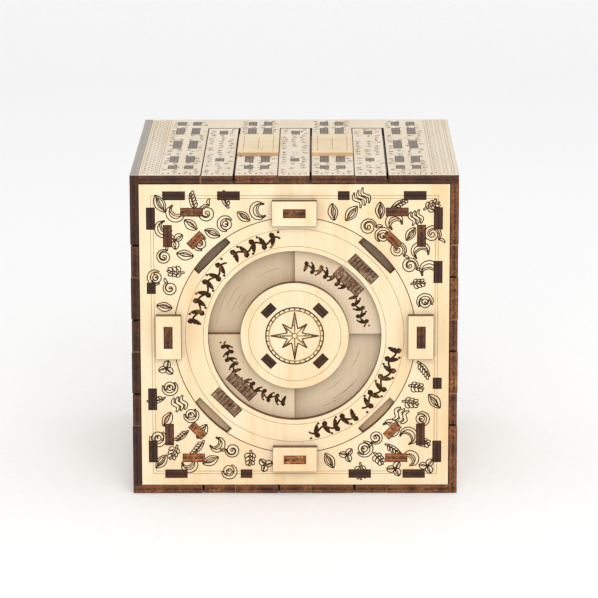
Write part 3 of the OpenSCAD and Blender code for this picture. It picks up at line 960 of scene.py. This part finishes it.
def side_ink(side):
    """Border lines, rows of dots, a row of dots and dashes along the front, and small marks between."""
    ink = Ink()
    rng = random.Random(20 + side)
    for u in BORDER_LINES:
        for off in (0.0, 0.9):
            ink.line((u + off, -57.5), (u + off, 57.5), FINE_LINE, FINE_DEPTH)
    for u in DOT_ROWS:
        zigzag_dots(ink, u)
    for i in range(25):
        u = -48 + i * 4.0
        ink.dot((u, -56.2), 0.5)
        ink.line((u + 2, -57.2), (u + 2, -55.0), 0.42)
    for k, (u0, u1) in enumerate(COLUMNS):
        small_marks(ink, rng, u0, u1, FRONT_END, BAR_END if k % 2 == 0 else STRIP_END, 3.4)
    return ink


def back_ink():
    """Fine border lines, and a row of small ornaments along each edge of the back panel."""
    ink = Ink()
    rng = random.Random(50)
    frame_lines(ink, (55.4, 54.6), FINE_LINE)
    per_edge, spacing = 16, 6.2
    for i in range(4 * per_edge):
        edge, step = divmod(i, per_edge)
        centre = Matrix.Rotation(math.pi / 2 * edge, 2) @ Vector((-47 + step * spacing, 49.6))
        shape, size = rng.choice(SMALL_ORNAMENTS), rng.uniform(3.4, 4.2)
        ornament(ink, shape, tuple(centre), size, edge * math.pi / 2, 0.4)
    return ink


def drawer_ink():
    """A wreath round the finger hole between fine circles, and a vine round that."""
    ink = Ink()
    for r in (12.5, 13.4, 24.5, 25.4):
        ink.circle((0, 0), r, 0.18, FINE_DEPTH, 120)
    wreath_r, sprigs = 19, 20
    for i in range(sprigs):
        angle = i * 360 / sprigs
        shape = (sprig, leaf)[i % 2]
        ornament(ink, shape, polar(wreath_r, angle), 8.0, math.radians(angle - 90), 0.3, 1.0, most=8)
    vine_runs(ink, 29.5, (0, 90, 180, 270), ((4, 86),), 5.2, 0.7)
    frame_lines(ink, (36.0, 35.2), 0.18)
    return ink


# ---------- the object ----------

# The range of each board's edge tone, from black char to bare wood.
BOARD_TONE = {"top": (0.15, 0.35), "right": (0.5, 0.7), "bottom": (0.55, 0.75), "left": (0.05, 0.3)}
STRIP_SUNK = 0.15


def build_sides():
    """The boards, their strips and runners, and the decks, walls, ribs and tiles. The front corners in the
    gaps between strips get a painted amber highlight, and the left board's upper edge a pale grey painted
    sheen."""
    for k, side in enumerate(SIDES):
        face, ink = side_face(k), side_ink(k)
        # Painted highlight on board corners that look right and forward, and on strip corners that look left
        # and forward.
        board_accents = [((face.u - face.v).normalized(), "glint")]
        strip_accents = [((-face.u - face.v).normalized(), "glint")]
        # The left board's upward cut edges get a pale grey painted sheen.
        if side == "left":
            board_accents.append(((0, 0, 1), "painted_sheen"))
        sheet_piece(side + "_board", ("top", "edge"), BOARD_TONE[side], (0, 1, 0), face, ink,
                    accents=board_accents)
        if side == "top":
            sheet_piece("top_front_strips", ("top", "edge"), (0.4, 0.6), (0, 1, 0), face, ink)
        sunk = face.sunk(STRIP_SUNK)
        for node in sorted(frame["nodes"]):
            if node.startswith(side + "_") and node.endswith("_strip"):
                sheet_piece(node, ("top", "edge"), BOARD_TONE[side], (0, 1, 0), sunk, ink,
                            accents=strip_accents)
            if node.startswith(side + "_") and node.endswith("_runner"):
                # The runners' edges get the paler char of painted sheen.
                sheet_piece(node, ("inner", "rib"), (0.1, 0.4), (0, 1, 0))
        sheet_piece(side + "_deck", ("inner", "edge"), (0.0, 0.15), (0, 1, 0))
        sheet_piece(side + "_inner_wall", ("inner", "edge"), wall_tone, (0, 1, 0))
    # The ribs' ends show on the sides with the paler char of painted sheen.
    sheet_piece("side_ribs", ("inner", "rib"), (0.1, 0.4), (0, 1, 0))
    for node in ("left_press_tile", "right_press_tile"):
        sheet_piece(node, ("tile", "tile_edge"), (0.4, 0.6), (1, 0, 0), tile_face(), tile_ink(node))


def wall_tone(co, rng):
    """The bottom wall's tenon in its clip is the palest, and the top one's comes next."""
    height = co[:, 2].mean() - AXIS_Z
    if abs(height) < HALF / 2:
        return rng.uniform(0.3, 0.45)
    return 0.55 if height > 0 else 0.95


def tile_face():
    return side_face(0).sunk(HALF * 2 - in_mm(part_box("left_press_tile")[1].z))


def tile_ink(node):
    """A faint arrow along the strip, with a fine line on each side of it."""
    ink = Ink()
    low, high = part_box(node)
    middle = in_mm(low.x + high.x) / 2
    ink.line((middle, -11), (middle, 11), 0.2, FINE_DEPTH)
    for sign in (-1, 1):
        ink.line((middle, -13), (middle + sign * 2.4, -9.4), 0.2, FINE_DEPTH)
        ink.line((middle + sign * 5.6, -16), (middle + sign * 5.6, 16), FINE_LINE, FINE_DEPTH)
    return ink


def seat_tone(co, _):
    """The dial seat is darker in its upper half, as painted shade from the front panel over its upper
    notches, and plain in the lower half.
    """
    return np.where(co[:, 2] > AXIS_Z, 0.0, 1.0)


def build_front():
    up = (0, 0, 1)
    sheet_piece("front_panel", ("face", "edge"), (0.5, 0.5), up, FRONT_FACE, front_ink())
    sheet_piece("keeper_clips", ("face", "edge"), (0.4, 0.6), up)
    sheet_piece("dial_ring", ("face", "edge"), (0.5, 0.5), up, FRONT_FACE, ring_ink())
    sheet_piece("hub_cap", ("face", "edge"), (0.5, 0.5), up, FRONT_FACE, hub_ink())
    sheet_piece("dial_shutter", ("inner", "edge"), (0.9, 0.9), up, FRONT_FACE.sunk(PLY), shutter_ink())
    sheet_piece("dial_base", ("inner", "edge"), (0.5, 0.5), up, FRONT_FACE.sunk(2 * PLY), base_ink())
    # The seat's upper half is darkened as painted shade.
    sheet_piece("dial_seat", ("painted_shade", "edge"), seat_tone, up)
    sheet_piece("gate_disc", ("inner", "edge"), (0.3, 0.3), up)
    sheet_piece("corner_gussets", ("inner", "edge"), (0.85, 1.0), (0, 1, 0))
    sheet_piece("drive_blocks", ("inner", "block"), (0.6, 0.7), (0, 1, 0), normal=SHEET_AXES[4])
    sheet_piece("dial_column", ("inner", "edge"), (0.0, 0.1), (0, 1, 0))


def build_inside_and_back():
    up = (0, 0, 1)
    sheet_piece("back_panel", ("face", "edge"), (0.5, 0.5), up, BACK_FACE, back_ink())
    sheet_piece("drawer_face", ("face", "edge"), (0.5, 0.5), up, BACK_FACE, drawer_ink())
    for node in ("bulkhead", "lock_spindle", "lock_bar", "drawer_front_wall"):
        sheet_piece(node, ("inner", "edge"), (0.3, 0.5), up)
    for node in ("drawer_sides", "drawer_floor", "drawer_rails"):
        sheet_piece(node, ("inner", "edge"), (0.3, 0.5), (0, 1, 0))


# ---------- the stage ----------

def build_floor():
    """A pale floor that curves up into a backdrop."""
    near_y, far_y, width, height, bend, steps = -3.0, 1.6, 5.0, 2.4, 0.7, 24
    level = mm(-0.05)
    profile = [(near_y, level)]
    for i in range(steps + 1):
        a = math.pi / 2 * i / steps
        profile.append((far_y - bend + bend * math.sin(a), level + bend - bend * math.cos(a)))
    profile.append((far_y, height))
    verts = [(x, y, z) for y, z in profile for x in (-width, width)]
    polys = [(2 * i, 2 * i + 1, 2 * i + 3, 2 * i + 2) for i in range(len(profile) - 1)]
    mesh = bpy.data.meshes.new("floor")
    mesh.from_pydata(verts, [], polys)
    mesh.polygons.foreach_set("use_smooth", [True] * len(polys))
    floor = bpy.data.objects.new("floor", mesh)
    bpy.context.scene.collection.objects.link(floor)
    n = Nodes("paper")
    where = n.add("ShaderNodeTexCoord").outputs["Object"]
    fibres = n.stretched_noise(where, (300, 300, 300), 2.0)
    n.bump(fibres, 0.05, mm(0.1))
    mesh.materials.append(n.finish(n.ramp(fibres, [(0.3, 0.92), (0.7, 0.94)]), 0.9, 0.1))


def area_light(name, place, size, power):
    """A square white light that faces the cube's middle."""
    data = bpy.data.lights.new(name, "AREA")
    data.shape, data.size, data.energy = "SQUARE", size, power
    lamp = bpy.data.objects.new(name, data)
    lamp.location = place
    lamp.rotation_euler = (Vector((0, 0, 0.06)) - Vector(place)).to_track_quat("-Z", "Y").to_euler()
    bpy.context.scene.collection.objects.link(lamp)


def build_light():
    """A bright white studio, with a large light in front of the cube and a weaker one over it."""
    studio_strength = 0.80
    world = bpy.data.worlds.new("studio")
    bpy.context.scene.world = world
    world.use_nodes = True
    background = world.node_tree.nodes["Background"]
    background.inputs["Color"].default_value = (1.0, 1.0, 1.0, 1)
    background.inputs["Strength"].default_value = studio_strength
    area_light("key", place=(0.15, -1.5, 1.0), size=1.2, power=12.0)
    area_light("top", place=(0.1, 0.1, 1.7), size=1.4, power=4)
    view = bpy.context.scene.view_settings
    view.view_transform = "Standard"
    view.look = "None"


def build_camera():
    """The camera stands 1.27 metres in front of the cube's middle and looks down at it."""
    aside, distance, height = 8.6, 1272.3, 348.9
    data = bpy.data.cameras.new("camera")
    data.sensor_width, data.sensor_fit, data.lens = 36, "HORIZONTAL", 204.1
    data.clip_end = 20
    camera = bpy.data.objects.new("camera", data)
    pitch, yaw, roll = math.radians(12.78), math.radians(-0.33), math.radians(-0.13)
    ahead = Vector((math.sin(yaw) * math.cos(pitch), math.cos(yaw) * math.cos(pitch), -math.sin(pitch)))
    right = Vector((math.cos(yaw), -math.sin(yaw), 0))
    up = right.cross(ahead)
    tilted_right = right * math.cos(roll) + up * math.sin(roll)
    tilted_up = up * math.cos(roll) - right * math.sin(roll)
    turn = Matrix((tilted_right, tilted_up, -ahead)).transposed()
    camera.matrix_world = Matrix.Translation((mm(aside), mm(MID_Y - distance), mm(height))) @ turn.to_4x4()
    bpy.context.scene.collection.objects.link(camera)
    bpy.context.scene.camera = camera


build_camera()
build_light()
build_floor()
build_front()
build_sides()
build_inside_and_back()
